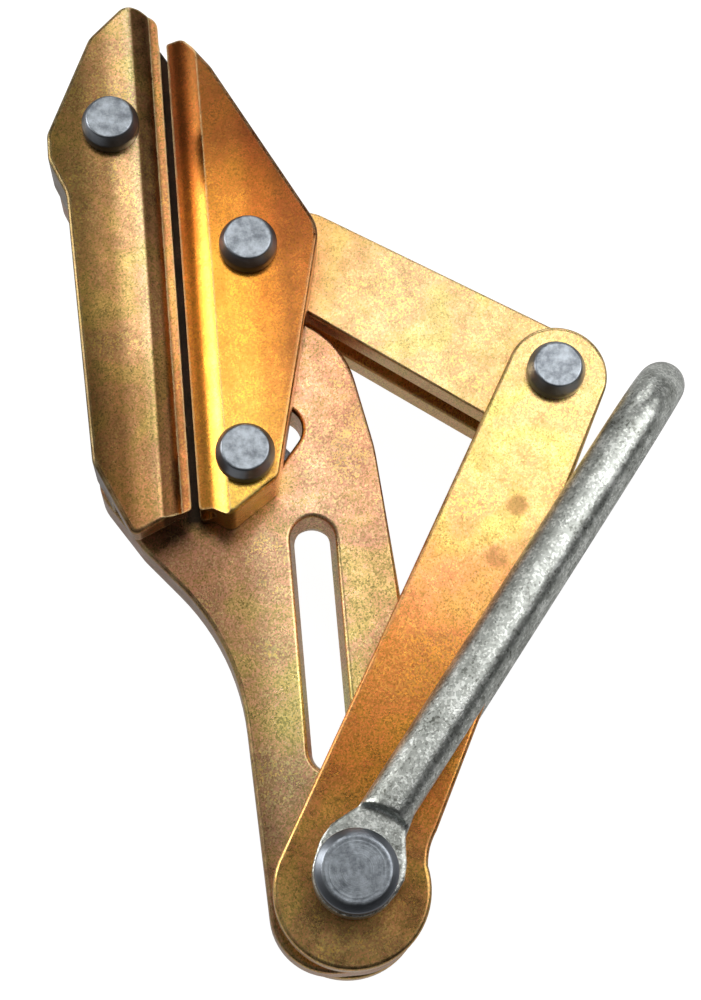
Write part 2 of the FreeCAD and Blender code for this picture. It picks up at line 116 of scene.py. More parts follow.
# %% [markdown]
# ## Small helpers for shader nodes
# A material could be wired node by node, in four lines for each. With these
# helpers a node is one line and a tree is one list of links, so that the idea
# of an effect stays in view. An input called i2 is the node's third.


# %% Helpers for node trees
def new_group(name, inputs, outputs):
    """A shader node group; inputs are (name, socket type, default)."""
    tree = bpy.data.node_groups.new(name, "ShaderNodeTree")
    for label, kind, default in inputs:
        socket = tree.interface.new_socket(label, in_out="INPUT", socket_type=kind)
        socket.default_value = default
    for label, kind in outputs:
        tree.interface.new_socket(label, in_out="OUTPUT", socket_type=kind)
    return tree, tree.nodes.new("NodeGroupInput"), tree.nodes.new("NodeGroupOutput")


def add(tree, kind, settings=None, **sockets):
    """A node with its settings and its sockets' constant values."""
    node = tree.nodes.new("ShaderNode" + kind)
    for key, value in (settings or {}).items():
        setattr(node, key, value)
    for key, value in sockets.items():
        name = key.replace("_", " ")
        slot = int(key[1:]) if key[0] == "i" and key[1:].isdigit() else name
        node.inputs[slot].default_value = value
    return node


def maths(tree, operation, **sockets):
    """A Math node."""
    return add(tree, "Math", {"operation": operation}, **sockets)


def vector_maths(tree, operation, **sockets):
    """A Vector Math node."""
    return add(tree, "VectorMath", {"operation": operation}, **sockets)


def remap(tree, low, high, start=0.0, end=1.0):
    """A value that goes from start to end while its input goes from low to high."""
    return add(tree, "MapRange", None, i1=low, i2=high, i3=start, i4=end)


def join(tree, *pairs):
    """Links output to input, pair by pair."""
    for source, target in pairs:
        tree.links.new(source, target)


print("node helpers ready")


# %% Helpers for colours and groups
def ramp(tree, source, stops, smooth="EASE"):
    """A colour ramp on a value: stops are (position, colour)."""
    node = tree.nodes.new("ShaderNodeValToRGB")
    node.color_ramp.interpolation = smooth
    elements = node.color_ramp.elements
    while len(elements) < len(stops):
        elements.new(0.5)
    for element, (place, colour) in zip(elements, stops):
        element.position = place
        element.color = (*colour, 1.0)
    tree.links.new(source, node.inputs[0])
    return node


def group_node(tree, group):
    """One use of a node group."""
    node = tree.nodes.new("ShaderNodeGroup")
    node.node_tree = group
    return node


FLOAT = "NodeSocketFloat"
COLOUR = "NodeSocketColor"
VECTOR = "NodeSocketVector"
PLACE = ("Vector", VECTOR, (0, 0, 0))
print("colour and group helpers ready")

# %% [markdown]
# ## Passivation film
# The chromate film on zinc is a few hundred nanometres thick, and its thickness
# tints the metal. The shader could work out the interference itself, but the
# real patches come from how the bath drained, which noise shows just as well.
# Soft clouds stand for the draining, and small cells for the crystals of the
# zinc, each with its own tint. The group returns a tint that a piece
# multiplies with its own base colour.

# %% Node group: film thickness
# Scales count features in a metre: clouds are about 14 mm, crystals 0.3 mm.
# The noise stays mostly between 0.3 and 0.7, which is spread to the full share.
CLOUDS = 70.0
BLOTCHES = 260.0
CRYSTALS = 3300.0
CLOUD_SHARE = 0.62
BLOTCH_SHARE = 0.34
CRYSTAL_SHARE = 0.52
THINNEST = 0.25

film, gin, gout = new_group(
    "Passivation film",
    [PLACE, ("Shift", FLOAT, 0.0), ("Sparkle", FLOAT, 0.6)],
    [("Color", COLOUR)],
)
clouds = add(film, "TexNoise", Scale=CLOUDS, Detail=2.0, Roughness=0.5, Distortion=0.8)
blotches = add(film, "TexNoise", Scale=BLOTCHES, Detail=3.0, Roughness=0.6)
cells = add(film, "TexVoronoi", {"feature": "F1"}, Scale=CRYSTALS)
drained = remap(film, 0.30, 0.70, 0.0, CLOUD_SHARE)
with_blotches = maths(film, "MULTIPLY_ADD", i1=BLOTCH_SHARE)
with_crystals = maths(film, "MULTIPLY_ADD", i1=CRYSTAL_SHARE)
shifted = maths(film, "ADD")
thickness = maths(film, "SUBTRACT", i1=THINNEST)
join(
    film,
    (gin.outputs["Vector"], clouds.inputs["Vector"]),
    (gin.outputs["Vector"], blotches.inputs["Vector"]),
    (gin.outputs["Vector"], cells.inputs["Vector"]),
    (clouds.outputs[0], drained.inputs[0]),
    (blotches.outputs[0], with_blotches.inputs[0]),
    (drained.outputs[0], with_blotches.inputs[2]),
    (cells.outputs["Color"], with_crystals.inputs[0]),
    (with_blotches.outputs[0], with_crystals.inputs[2]),
    (with_crystals.outputs[0], shifted.inputs[0]),
    (gin.outputs["Shift"], shifted.inputs[1]),
    (shifted.outputs[0], thickness.inputs[0]),
)
print("film thickness from", len(film.nodes), "nodes")

# %% [markdown]
# ### From thickness to tint
# A thicker film turns from olive through straw and peach to pink, and starts
# again. A formula for the wavelengths would give such hues too, but a ramp can
# be matched to the photograph. Each crystal also reflects a little more or
# less than the next, and Sparkle says how much.

# %% Node group: film tint
FILM_TINTS = [
    (0.00, (0.66, 0.70, 0.42)),
    (0.18, (0.84, 0.86, 0.46)),
    (0.34, (1.00, 0.94, 0.56)),
    (0.50, (1.00, 0.80, 0.62)),
    (0.64, (1.00, 0.64, 0.70)),
    (0.78, (0.82, 0.82, 0.66)),
    (0.90, (1.00, 0.88, 0.46)),
    (1.00, (0.76, 0.56, 0.68)),
]
tones = ramp(film, thickness.outputs[0], FILM_TINTS, "LINEAR")
darkest = maths(film, "SUBTRACT", i0=1.0)
lightest = maths(film, "ADD", i0=1.0)
glint = remap(film, 0.0, 1.0)
tint = vector_maths(film, "SCALE")
join(
    film,
    (gin.outputs["Sparkle"], darkest.inputs[1]),
    (gin.outputs["Sparkle"], lightest.inputs[1]),
    (cells.outputs["Color"], glint.inputs[0]),
    (darkest.outputs[0], glint.inputs[3]),
    (lightest.outputs[0], glint.inputs[4]),
    (tones.outputs[0], tint.inputs[0]),
    (glint.outputs[0], tint.inputs["Scale"]),
    (tint.outputs[0], gout.inputs["Color"]),
)
print("film group", len(film.nodes), "nodes")

# %% [markdown]
# ## Forged and rolled grain
# Under the plating the steel keeps the fine, even grain of blasted forgings,
# and its gloss changes slowly from place to place. Real dents in the mesh
# would cost millions of triangles, so fine noise goes to the bump, and slow
# noise to the roughness, where it breaks up the reflections.

# %% Node group: grain
GRAIN = 2600.0
SLOW_CHANGE = 210.0

grain, gin, gout = new_group("Forged grain", [PLACE], [("Height", FLOAT), ("Rough", FLOAT)])
fine = add(grain, "TexNoise", Scale=GRAIN, Detail=2.0, Roughness=0.6)
broad = add(grain, "TexNoise", Scale=SLOW_CHANGE, Detail=3.0, Roughness=0.6)
rough = remap(grain, 0.35, 0.65)
join(
    grain,
    (gin.outputs["Vector"], fine.inputs["Vector"]),
    (gin.outputs["Vector"], broad.inputs["Vector"]),
    (fine.outputs[0], gout.inputs["Height"]),
    (broad.outputs[0], rough.inputs[0]),
    (rough.outputs[0], gout.inputs["Rough"]),
)
print("grain group", len(grain.nodes), "nodes")

# %% [markdown]
# ## Painted highlight on edges
# Rounded edges catch the light as thin pale gold lines, and here that highlight
# is painted into the colour. It could be painted by hand on every piece. A
# bevelled normal does it by itself: it differs from the true normal only near
# an edge, and that difference is the mask. Noise leaves gaps in the line.

# %% Node group: edge mask
# How well the two normals agree: 1 is the same direction.
STRAIGHT = 0.995
TURNED_AWAY = 0.90
GAPS = 420.0
# The weakest share of the painted edge highlight, in the gaps the noise leaves.
LEAST_HIGHLIGHT = 0.35

edges, gin, gout = new_group("Painted edge highlight", [PLACE, ("Width", FLOAT, 0.0006)], [("Mask", FLOAT)])
bevel = add(edges, "Bevel", {"samples": 2})
geometry = add(edges, "NewGeometry")
agreement = vector_maths(edges, "DOT_PRODUCT")
sharp = remap(edges, STRAIGHT, TURNED_AWAY)
breakup = add(edges, "TexNoise", Scale=GAPS, Detail=3.0)
broken = remap(edges, 0.35, 0.62, LEAST_HIGHLIGHT, 1.0)
mask = maths(edges, "MULTIPLY")
join(
    edges,
    (gin.outputs["Width"], bevel.inputs["Radius"]),
    (bevel.outputs[0], agreement.inputs[0]),
    (geometry.outputs["Normal"], agreement.inputs[1]),
    (agreement.outputs["Value"], sharp.inputs[0]),
    (gin.outputs["Vector"], breakup.inputs["Vector"]),
    (breakup.outputs[0], broken.inputs[0]),
    (sharp.outputs[0], mask.inputs[0]),
    (broken.outputs[0], mask.inputs[1]),
    (mask.outputs[0], gout.inputs["Mask"]),
)
print("edge group", len(edges.nodes), "nodes")

# %% [markdown]
# ## Where on the piece
# The film also drifts along a whole piece, because of how it hung in the bath, and light and shade
# are painted along such lines on some pieces.
# An unwrapped texture could hold that drift, but a straight line through the
# piece is enough. The group tells how far a point has come along the line,
# from 0 to 1, and the piece's own ramp turns that into colour.

# %% Node group: place along a line
along_line, gin, gout = new_group(
    "Place along a line",
    [PLACE, ("Start", VECTOR, (0, 0, 0)), ("Step", VECTOR, (0, 1, 0))],
    [("Share", FLOAT)],
)
offset = vector_maths(along_line, "SUBTRACT")
share = vector_maths(along_line, "DOT_PRODUCT")
join(
    along_line,
    (gin.outputs["Vector"], offset.inputs[0]),
    (gin.outputs["Start"], offset.inputs[1]),
    (offset.outputs[0], share.inputs[0]),
    (gin.outputs["Step"], share.inputs[1]),
    (share.outputs["Value"], gout.inputs["Share"]),
)
print("line group", len(along_line.nodes), "nodes")

# %% [markdown]
# ## Spots of rust
# Two brown spots sit on the lever, where a drop of water stayed. A separate
# decal would need a mesh of its own, so a mask does it: the distance from the
# spot's centre, made ragged by noise and faded over its rim.

# %% Node group: spot
RAGGED = 1500.0
RAGGED_DEPTH = -1.2 * MM
# In radii: the mask fades from this far outside the rim to this far inside it.
RIM_OUT = 0.3
RIM_IN = -0.35

spot, gin, gout = new_group(
    "Soft spot",
    [PLACE, ("Centre", VECTOR, (0, 0, 0)), ("Radius", FLOAT, 0.001)],
    [("Mask", FLOAT)],
)
reach = vector_maths(spot, "DISTANCE")
ragged = add(spot, "TexNoise", Scale=RAGGED, Detail=2.0)
uneven = maths(spot, "MULTIPLY_ADD", i1=RAGGED_DEPTH)
past = maths(spot, "SUBTRACT")
in_radii = maths(spot, "DIVIDE")
fade = remap(spot, RIM_OUT, RIM_IN)
join(
    spot,
    (gin.outputs["Vector"], reach.inputs[0]),
    (gin.outputs["Centre"], reach.inputs[1]),
    (gin.outputs["Vector"], ragged.inputs["Vector"]),
    (ragged.outputs[0], uneven.inputs[0]),
    (reach.outputs["Value"], uneven.inputs[2]),
    (uneven.outputs[0], past.inputs[0]),
    (gin.outputs["Radius"], past.inputs[1]),
    (past.outputs[0], in_radii.inputs[0]),
    (gin.outputs["Radius"], in_radii.inputs[1]),
    (in_radii.outputs[0], fade.inputs[0]),
    (fade.outputs[0], gout.inputs["Mask"]),
)
print("spot group", len(spot.nodes), "nodes")

# %% [markdown]
# ## Turning marks
# The pins are cut on a lathe, which leaves fine rings, and handling stains
# them. A ring texture would have to be centred on each head by hand. Here the
# distance from the pin's own axis drives noise in one dimension, so the rings
# are round and uneven, and one group serves every pin.

# %% Node group: turning marks
RINGS = 2600.0
STAINS = 330.0
RING_DEPTH = 0.5

turned, gin, gout = new_group(
    "Turning marks",
    [PLACE, ("Centre", VECTOR, (0, 0, 0))],
    [("Height", FLOAT), ("Tone", FLOAT)],
)
offset = vector_maths(turned, "SUBTRACT")
flat = vector_maths(turned, "MULTIPLY", i1=(1.0, 1.0, 0.0))
reach = vector_maths(turned, "LENGTH")
rings = add(turned, "TexNoise", {"noise_dimensions": "1D"}, Scale=RINGS, Detail=2.0)
stain = add(turned, "TexNoise", Scale=STAINS, Detail=5.0, Roughness=0.7)
height = maths(turned, "MULTIPLY_ADD", i1=RING_DEPTH)
join(
    turned,
    (gin.outputs["Vector"], offset.inputs[0]),
    (gin.outputs["Centre"], offset.inputs[1]),
    (offset.outputs[0], flat.inputs[0]),
    (flat.outputs[0], reach.inputs[0]),
    (reach.outputs["Value"], rings.inputs["W"]),
    (gin.outputs["Vector"], stain.inputs["Vector"]),
    (rings.outputs[0], height.inputs[0]),
    (stain.outputs[0], height.inputs[2]),
    (height.outputs[0], gout.inputs["Height"]),
    (stain.outputs[0], gout.inputs["Tone"]),
)
print("turning group", len(turned.nodes), "nodes")

# %% [markdown]
# ## Plated steel
# All plates and jaws are zinc-plated, passivated steel. They could have five
# hand-made materials, but one recipe keeps them alike: base colours along a
# line or two, times the film's tint, with roughness from the grain, and a
# painted pale gold highlight on duller metal where the edge mask says so. Every
# texture reads the piece's own coordinates, so the pattern stays on the steel
# when the grip moves.


# %% The start of a material
def start_material(name, metallic, rough):
    """A material with its Principled node and object coordinates."""
    material = bpy.data.materials.new(name)
    material.use_nodes = True
    tree = material.node_tree
    shader = tree.nodes["Principled BSDF"]
    shader.inputs["Metallic"].default_value = metallic
    shader.inputs["Roughness"].default_value = rough
    coords = tree.nodes.new("ShaderNodeTexCoord")
    return material, tree, shader, coords.outputs["Object"]


def field(tree, place, start, end, stops):
    """A colour that changes along the line from start to end; stops are shares."""
    step = Vector(end) - Vector(start)
    where = group_node(tree, along_line)
    where.inputs["Start"].default_value = start
    where.inputs["Step"].default_value = step / step.length_squared
    tree.links.new(place, where.inputs["Vector"])
    return ramp(tree, where.outputs["Share"], stops).outputs[0]


def multiply(tree, first, second, amount=1.0):
    """Two colours multiplied."""
    node = add(tree, "MixRGB", {"blend_type": "MULTIPLY"}, i0=amount)
    join(tree, (first, node.inputs[1]), (second, node.inputs[2]))
    return node.outputs[0]


def spotted(tree, place, colour, centre, radius, tint, strength):
    """A colour with one soft spot laid over it."""
    mark = group_node(tree, spot)
    mark.inputs["Centre"].default_value = centre
    mark.inputs["Radius"].default_value = radius
    faded = maths(tree, "MULTIPLY", i1=strength)
    over = add(tree, "MixRGB", Color2=(*tint, 1.0))
    join(
        tree,
        (place, mark.inputs["Vector"]),
        (mark.outputs["Mask"], faded.inputs[0]),
        (faded.outputs[0], over.inputs[0]),
        (colour, over.inputs[1]),
    )
    return over.outputs[0]


print("material helpers ready")


# %% The plated recipe
EDGE_WIDTH = 0.7 * MM
# The pale gold that paints a highlight along the edges.
PAINTED_EDGE_HIGHLIGHT = (1.0, 0.84, 0.46, 1.0)
EDGE_ROUGHER = 0.28
GRAIN_DEPTH = 0.12 * MM
COAT = 0.12
COAT_ROUGH = 0.25


def plated(name, fields, shift, amount, smoothest=0.26, roughest=0.38, spots=()):
    """Plated steel: fields are its colour lines, amount is the film's strength."""
    material, tree, shader, place = start_material(name, metallic=1.0, rough=smoothest)
    shader.inputs["Coat Weight"].default_value = COAT
    shader.inputs["Coat Roughness"].default_value = COAT_ROUGH
    stain = group_node(tree, film)
    stain.inputs["Shift"].default_value = shift
    texture = group_node(tree, grain)
    edge_highlight = group_node(tree, edges)
    edge_highlight.inputs["Width"].default_value = EDGE_WIDTH
    # Along the edges the colour turns pale gold: a painted highlight.
    bright = add(tree, "MixRGB", Color2=PAINTED_EDGE_HIGHLIGHT)
    gloss = remap(tree, 0.0, 1.0, smoothest, roughest)
    rougher_edges = maths(tree, "MULTIPLY_ADD", i1=EDGE_ROUGHER)
    relief = add(tree, "Bump", Strength=0.12, Distance=GRAIN_DEPTH)
    colour = field(tree, place, *fields[0])
    for line in fields[1:]:
        colour = multiply(tree, colour, field(tree, place, *line))
    colour = multiply(tree, colour, stain.outputs["Color"], amount)
    for mark in spots:
        colour = spotted(tree, place, colour, *mark)
    join(
        tree,
        (place, stain.inputs["Vector"]),
        (place, texture.inputs["Vector"]),
        (place, edge_highlight.inputs["Vector"]),
        (colour, bright.inputs[1]),
        (edge_highlight.outputs["Mask"], bright.inputs[0]),
        (bright.outputs[0], shader.inputs["Base Color"]),
        (texture.outputs["Rough"], gloss.inputs[0]),
        (edge_highlight.outputs["Mask"], rougher_edges.inputs[0]),
        (gloss.outputs[0], rougher_edges.inputs[2]),
        (rougher_edges.outputs[0], shader.inputs["Roughness"]),
        (texture.outputs["Height"], relief.inputs["Height"]),
        (relief.outputs[0], shader.inputs["Normal"]),
    )
    return material


print("plated recipe ready")

# %% [markdown]
# ## Colour and painted light on each piece
# The body is copper brown beside the jaws, gold round the long window and brown
# again at the boss; the darkening beside the jaws is painted shade. The fixed
# jaw is dark olive on its outer side and bright along its crest; that rise to
# the crest is painted light, a painted highlight, and the slope past the crest
# gets painted shade. The moving jaw goes from deep orange at the top to bright
# gold at the foot; its orange is the film's, and the darkening towards the top
# is painted sheen. Across it, the left of its trough gets painted shade and
# the band past its crease a painted highlight. Noise alone wouldn't put these
# where they belong. So each line below is (start, end, stops): two points in
# the plane of the plates, and colours at shares of the way between them. Two
# lines on a piece are multiplied, so the second of a pair only shades the first.

# %% Colour lines of the body
body_down = (in_plane(0, 60), in_plane(0, -150), [
    (0.00, (0.86, 0.52, 0.27)), (0.42, (0.90, 0.63, 0.38)), (0.56, (0.84, 0.66, 0.42)),
    (0.72, (1.00, 0.86, 0.48)), (0.90, (0.84, 0.68, 0.42)), (1.00, (0.68, 0.42, 0.19)),
])
# Across the body: painted shade, darkest beside the jaws.
body_painted_shade_across = (in_plane(0, 0), in_plane(36, 0), [
    (0.00, (0.40, 0.32, 0.28)), (0.22, (0.50, 0.43, 0.38)), (0.42, (0.86, 0.84, 0.82)),
    (0.65, (1.00, 1.00, 1.00)), (0.88, (0.84, 0.78, 0.74)), (1.00, (0.76, 0.68, 0.64)),
])
print("body lines with", len(body_down[2]) + len(body_painted_shade_across[2]), "stops")

# %% Colour lines of the jaws
# Across the fixed jaw: the rise to the bright crest is painted light, and the dark stops past the
# crest are painted shade.
fixed_colour_and_painted_light = (in_plane(-26, 0), in_plane(0, 0), [
    (0.00, (0.13, 0.09, 0.025)), (0.25, (0.16, 0.11, 0.035)), (0.46, (0.36, 0.24, 0.10)),
    (0.64, (0.88, 0.65, 0.34)), (0.74, (1.00, 0.84, 0.50)), (0.765, (0.22, 0.14, 0.06)),
    (0.90, (0.26, 0.15, 0.06)), (0.93, (0.80, 0.44, 0.18)),
])
fixed_down = (in_plane(0, 62), in_plane(0, -60), [
    (0.00, (1.00, 1.00, 1.00)), (0.30, (0.92, 0.92, 0.90)), (0.58, (1.00, 0.98, 0.94)),
    (0.76, (0.56, 0.50, 0.42)), (1.00, (0.66, 0.54, 0.44)),
])
# Down the moving jaw: the orange is the film's, the darkening towards the top painted sheen.
moving_colour_and_painted_sheen = (in_plane(0, 55), in_plane(0, -57), [
    (0.00, (0.26, 0.11, 0.025)), (0.22, (0.28, 0.10, 0.02)), (0.40, (0.70, 0.29, 0.045)),
    (0.54, (0.98, 0.47, 0.07)), (1.00, (1.00, 0.66, 0.14)),
])
# Across the moving jaw: painted shade on the left of the trough, a painted highlight at and past the
# crease, and painted shade further right.
moving_painted_light_across = (in_plane(0, 0), in_plane(30, 0), [
    (0.00, (0.50, 0.33, 0.30)), (0.14, (0.72, 0.54, 0.40)), (0.21, (1.00, 1.00, 1.00)),
    (0.42, (1.00, 1.00, 1.00)), (0.58, (0.74, 0.60, 0.66)), (0.76, (0.44, 0.34, 0.48)),
    (1.00, (0.40, 0.30, 0.42)),
])
print("jaw lines with", len(fixed_colour_and_painted_light[2]) + len(moving_colour_and_painted_sheen[2]), "stops along the main lines")

# %% Colour lines of link and lever
link_along = (in_plane(5, 10), in_plane(76, -30), [
    (0.00, (0.94, 0.48, 0.17)), (0.22, (0.94, 0.56, 0.22)), (0.55, (0.92, 0.70, 0.36)),
    (1.00, (0.86, 0.64, 0.28)),
])
lever_along = (in_plane(19, -141), in_plane(81, -20), [
    (0.00, (0.72, 0.50, 0.20)), (0.12, (0.62, 0.36, 0.12)), (0.26, (0.64, 0.27, 0.06)),
    (0.42, (0.76, 0.34, 0.08)), (0.56, (0.92, 0.46, 0.18)), (0.70, (0.95, 0.68, 0.28)),
    (1.00, (0.93, 0.74, 0.34)),
])
RUST = (0.34, 0.17, 0.06)
# centre and radius in metres, tint, strength
rust_spots = [
    ((0.0647, -0.0571, 0.0045), 0.0016, RUST, 0.75),
    ((0.0594, -0.0676, 0.0045), 0.0018, RUST, 0.6),
]
print("lever has", len(rust_spots), "spots")

# %% The five plated materials
plating = {
    "body": plated("Plating, body", [body_down, body_painted_shade_across], shift=0.06, amount=0.95),
    "fixed_jaw": plated("Plating, fixed jaw", [fixed_colour_and_painted_light, fixed_down], shift=0.08, amount=0.85),
    "moving_jaw": plated(
        "Plating, moving jaw", [moving_colour_and_painted_sheen, moving_painted_light_across],
        shift=0.04, amount=0.6, smoothest=0.23, roughest=0.33,
    ),
    "link": plated("Plating, link", [link_along], shift=0.05, amount=0.75),
    "lever": plated(
        "Plating, lever", [lever_along],
        shift=0.02, amount=0.8, smoothest=0.24, roughest=0.36, spots=rust_spots,
    ),
}
print("plated materials", sorted(plating))

# %% [markdown]
# ## The slit between the jaws
# Between the closed jaws the body shows as a black line, because little light
# gets into the slit. The lamps alone leave it brown, since the slit is wide for
# its depth. So the shade is painted: the body's own colour is darkened where
# the groove's axis runs over it, down to the jaws' feet.

# %% Painted shade in the slit on the body
# Full dark up to the first distance from the groove's axis, none past the second.
SLIT_DARK = (1.6 * MM, 3.0 * MM)
# The dark starts along the axis where the jaws end.
SLIT_FOOT = (-54.5 * MM, -52.5 * MM)
SLIT_STRENGTH = 0.94
# The near-black colour of the painted shade in the slit.
PAINTED_SLIT_SHADE = (0.012, 0.008, 0.005, 1.0)

tree = plating["body"].node_tree
shader = tree.nodes["Principled BSDF"]
coords = add(tree, "TexCoord")
split = add(tree, "SeparateXYZ")
width = maths(tree, "ABSOLUTE")
near = remap(tree, *SLIT_DARK, 1.0, 0.0)
above = remap(tree, *SLIT_FOOT, 0.0, SLIT_STRENGTH)
both = maths(tree, "MULTIPLY")
shade = add(tree, "MixRGB", Color2=PAINTED_SLIT_SHADE)
join(
    tree,
    (shader.inputs["Base Color"].links[0].from_socket, shade.inputs[1]),
    (coords.outputs["Object"], split.inputs[0]),
    (split.outputs["X"], width.inputs[0]),
    (width.outputs[0], near.inputs[0]),
    (split.outputs["Y"], above.inputs[0]),
    (near.outputs[0], both.inputs[0]),
    (above.outputs[0], both.inputs[1]),
    (both.outputs[0], shade.inputs[0]),
    (shade.outputs[0], shader.inputs["Base Color"]),
)
print("slit shaded on", plating["body"].name)

# %% [markdown]
# ## Bare turned steel
# Pins, washers, bushes and dowels are bare steel: grey and stained, with
# painted shade that makes their walls darker than their faces. One shared
# material would centre the rings of all pins on one point, so each piece gets
# its own copy of the recipe, with the centre read from its box.

# %% Turned steel
TURNED_ROUGH = 0.38
STAIN_DARK = (0.20, 0.22, 0.245)
STAIN_LIGHT = (0.56, 0.61, 0.66)
# The darker grey on the walls is painted shade.
PAINTED_WALL_SHADE = (0.26, 0.28, 0.31, 1.0)
WALL_TILT = (0.80, 0.97)
TURNING_DEPTH = 0.2 * MM


def turned_steel(name, centre):
    """Grey steel with turning marks round a pin's axis; walls get painted shade."""
    material, tree, shader, place = start_material(name, metallic=1.0, rough=TURNED_ROUGH)
    marks = group_node(tree, turned)
    marks.inputs["Centre"].default_value = centre
    tone = ramp(tree, marks.outputs["Tone"], [(0.30, STAIN_DARK), (0.70, STAIN_LIGHT)])
    geometry = add(tree, "NewGeometry")
    split = add(tree, "SeparateXYZ")
    upright = maths(tree, "ABSOLUTE")
    facing_up = remap(tree, *WALL_TILT)
    walls = add(tree, "MixRGB", Color1=PAINTED_WALL_SHADE)
    relief = add(tree, "Bump", Strength=0.22, Distance=TURNING_DEPTH)
    join(
        tree,
        (place, marks.inputs["Vector"]),
        (geometry.outputs["Normal"], split.inputs[0]),
        (split.outputs["Z"], upright.inputs[0]),
        (upright.outputs[0], facing_up.inputs[0]),
        (facing_up.outputs[0], walls.inputs[0]),
        (tone.outputs[0], walls.inputs[2]),
        (walls.outputs[0], shader.inputs["Base Color"]),
        (marks.outputs["Height"], relief.inputs["Height"]),
        (relief.outputs[0], shader.inputs["Normal"]),
    )
    return material


turned_nodes = [
    "fixed_jaw_rivet", "link_jaw_pin", "guide_pin", "lever_link_pin", "main_pin",
    "fixed_jaw_washer", "link_jaw_washer", "guide_washer", "lever_link_washer",
    "main_pin_washer", "link_jaw_bush", "lever_link_bush", "fixed_jaw_dowels",
]
steel = {
    name: turned_steel("Turned steel, " + name, [value * MM for value in middle_of(name)])
    for name in turned_nodes
}
print("turned materials", len(steel))

# %% [markdown]
# ## Galvanised bar
# The bail is hot-dip galvanised: dull grey zinc with a small spangle, where
# each crystal froze with its own shade, and darker clouds from weather. The
# spangle could be an image; cells and soft noise added together give the same
# mix of sizes and need no unwrapping.

# %% Galvanised zinc
SPANGLES = 2300.0
WEATHER = 240.0
SPANGLE_SHARE = 0.55
ZINC_TONES = [(0.35, (0.19, 0.195, 0.17)), (0.78, (0.54, 0.56, 0.52)), (1.00, (0.90, 0.92, 0.87))]
ZINC_DEPTH = 0.18 * MM

galvanised, tree, shader, place = start_material("Galvanised bar", metallic=1.0, rough=0.36)
spangle = add(tree, "TexVoronoi", {"feature": "F1"}, Scale=SPANGLES)
weather = add(tree, "TexNoise", Scale=WEATHER, Detail=3.0, Roughness=0.6)
texture = group_node(tree, grain)
blend = maths(tree, "MULTIPLY_ADD", i1=SPANGLE_SHARE)
tone = ramp(tree, blend.outputs[0], ZINC_TONES)
relief = add(tree, "Bump", Strength=0.30, Distance=ZINC_DEPTH)
join(
    tree,
    (place, spangle.inputs["Vector"]),
    (place, weather.inputs["Vector"]),
    (place, texture.inputs["Vector"]),
    (spangle.outputs["Color"], blend.inputs[0]),
    (weather.outputs[0], blend.inputs[2]),
    (tone.outputs[0], shader.inputs["Base Color"]),
    (texture.outputs["Height"], relief.inputs["Height"]),
    (relief.outputs[0], shader.inputs["Normal"]),
)
print("galvanised bar with", len(tree.nodes), "nodes")

# %% [markdown]
# ## Putting a new piece in place
# A piece made here takes over from a CAD node, which is then not shown. It
# could be parented by hand; riding on the node's own body makes it follow the
# joint in every pose.


# %% A placed piece
SHARP_ANGLE = math.radians(32)


def placed(name, mesh, node):
    """A new piece in the place of a CAD node, on the node's own body."""
    piece = bpy.data.objects.new(name, mesh)
    bpy.context.scene.collection.objects.link(piece)
    for polygon in mesh.polygons:
        polygon.use_smooth = True
    mesh.set_sharp_from_angle(angle=SHARP_ANGLE)
    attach(piece, body_of(nodes[node])[0])
    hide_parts(node)
    return piece


print("edges over", round(math.degrees(SHARP_ANGLE)), "degrees stay sharp")

# %% [markdown]
# ## Pins turned on a lathe
# Each pin is a round bar with a coned head at the front and a lower one at the
# back. The CAD pins have hard rims and a punch mark. A bevel would soften the
# rims and keep the mark, so each pin is spun again from its section, with
# every corner rounded. Place and length come from the CAD pin's box.


# %% Lathe
def rounded(corner, before, after, reach=0.35, steps=3):
    """A few points that round one corner of a section."""
    corner, before, after = Vector(corner), Vector(before), Vector(after)
    start = corner + (before - corner).normalized() * reach
    end = corner + (after - corner).normalized() * reach
    points = []
    for step in range(steps + 1):
        t = step / steps
        points.append(start * (1 - t) ** 2 + corner * 2 * t * (1 - t) + end * t ** 2)
    return points


def spun(name, centre, section, turns=96):
    """A closed solid of revolution from (radius, height) points, in millimetres."""
    points = []
    for index in range(1, len(section) - 1):
        points.extend(rounded(section[index], section[index - 1], section[index + 1]))
    vertices = []
    for radius, height in points:
        for turn in range(turns):
            angle = 2 * math.pi * turn / turns
            x = centre[0] + radius * math.cos(angle)
            y = centre[1] + radius * math.sin(angle)
            vertices.append((x * MM, y * MM, height * MM))
    faces = []
    for ring in range(len(points) - 1):
        low, high = ring * turns, (ring + 1) * turns
        for turn in range(turns):
            after = (turn + 1) % turns
            faces.append((low + turn, low + after, high + after, high + turn))
    top = (len(points) - 1) * turns
    faces.append([turns - 1 - turn for turn in range(turns)])
    faces.append([top + turn for turn in range(turns)])
    mesh = bpy.data.meshes.new(name)
    mesh.from_pydata(vertices, [], faces)
    mesh.validate()
    return mesh


print("a rounded corner has", len(rounded((1, 1), (0, 1), (1, 0))), "points")


# %% Heads of the five pins
# Millimetres: the radius of the head and of its flat face, then the height of
# wall and cone at the front and at the back, then the radius of the shank.
SMALL_HEAD = {
    "radius": 6.0, "face": 4.8, "wall": 2.3, "cone": 2.5,
    "back_wall": 0.8, "back_cone": 1.9, "shank": 4.75,
}
MAIN_HEAD = {
    "radius": 8.0, "face": 6.5, "wall": 2.8, "cone": 1.3,
    "back_wall": 0.8, "back_cone": 1.6, "shank": 6.0,
}
HEADS = {
    "fixed_jaw_rivet": SMALL_HEAD,
    "link_jaw_pin": SMALL_HEAD,
    "guide_pin": SMALL_HEAD,
    "lever_link_pin": {**SMALL_HEAD, "shank": 5.0},
    "main_pin": MAIN_HEAD,
}
# A ring this far inside the face's rim keeps the face flat when it is shaded.
SUPPORT = 0.8


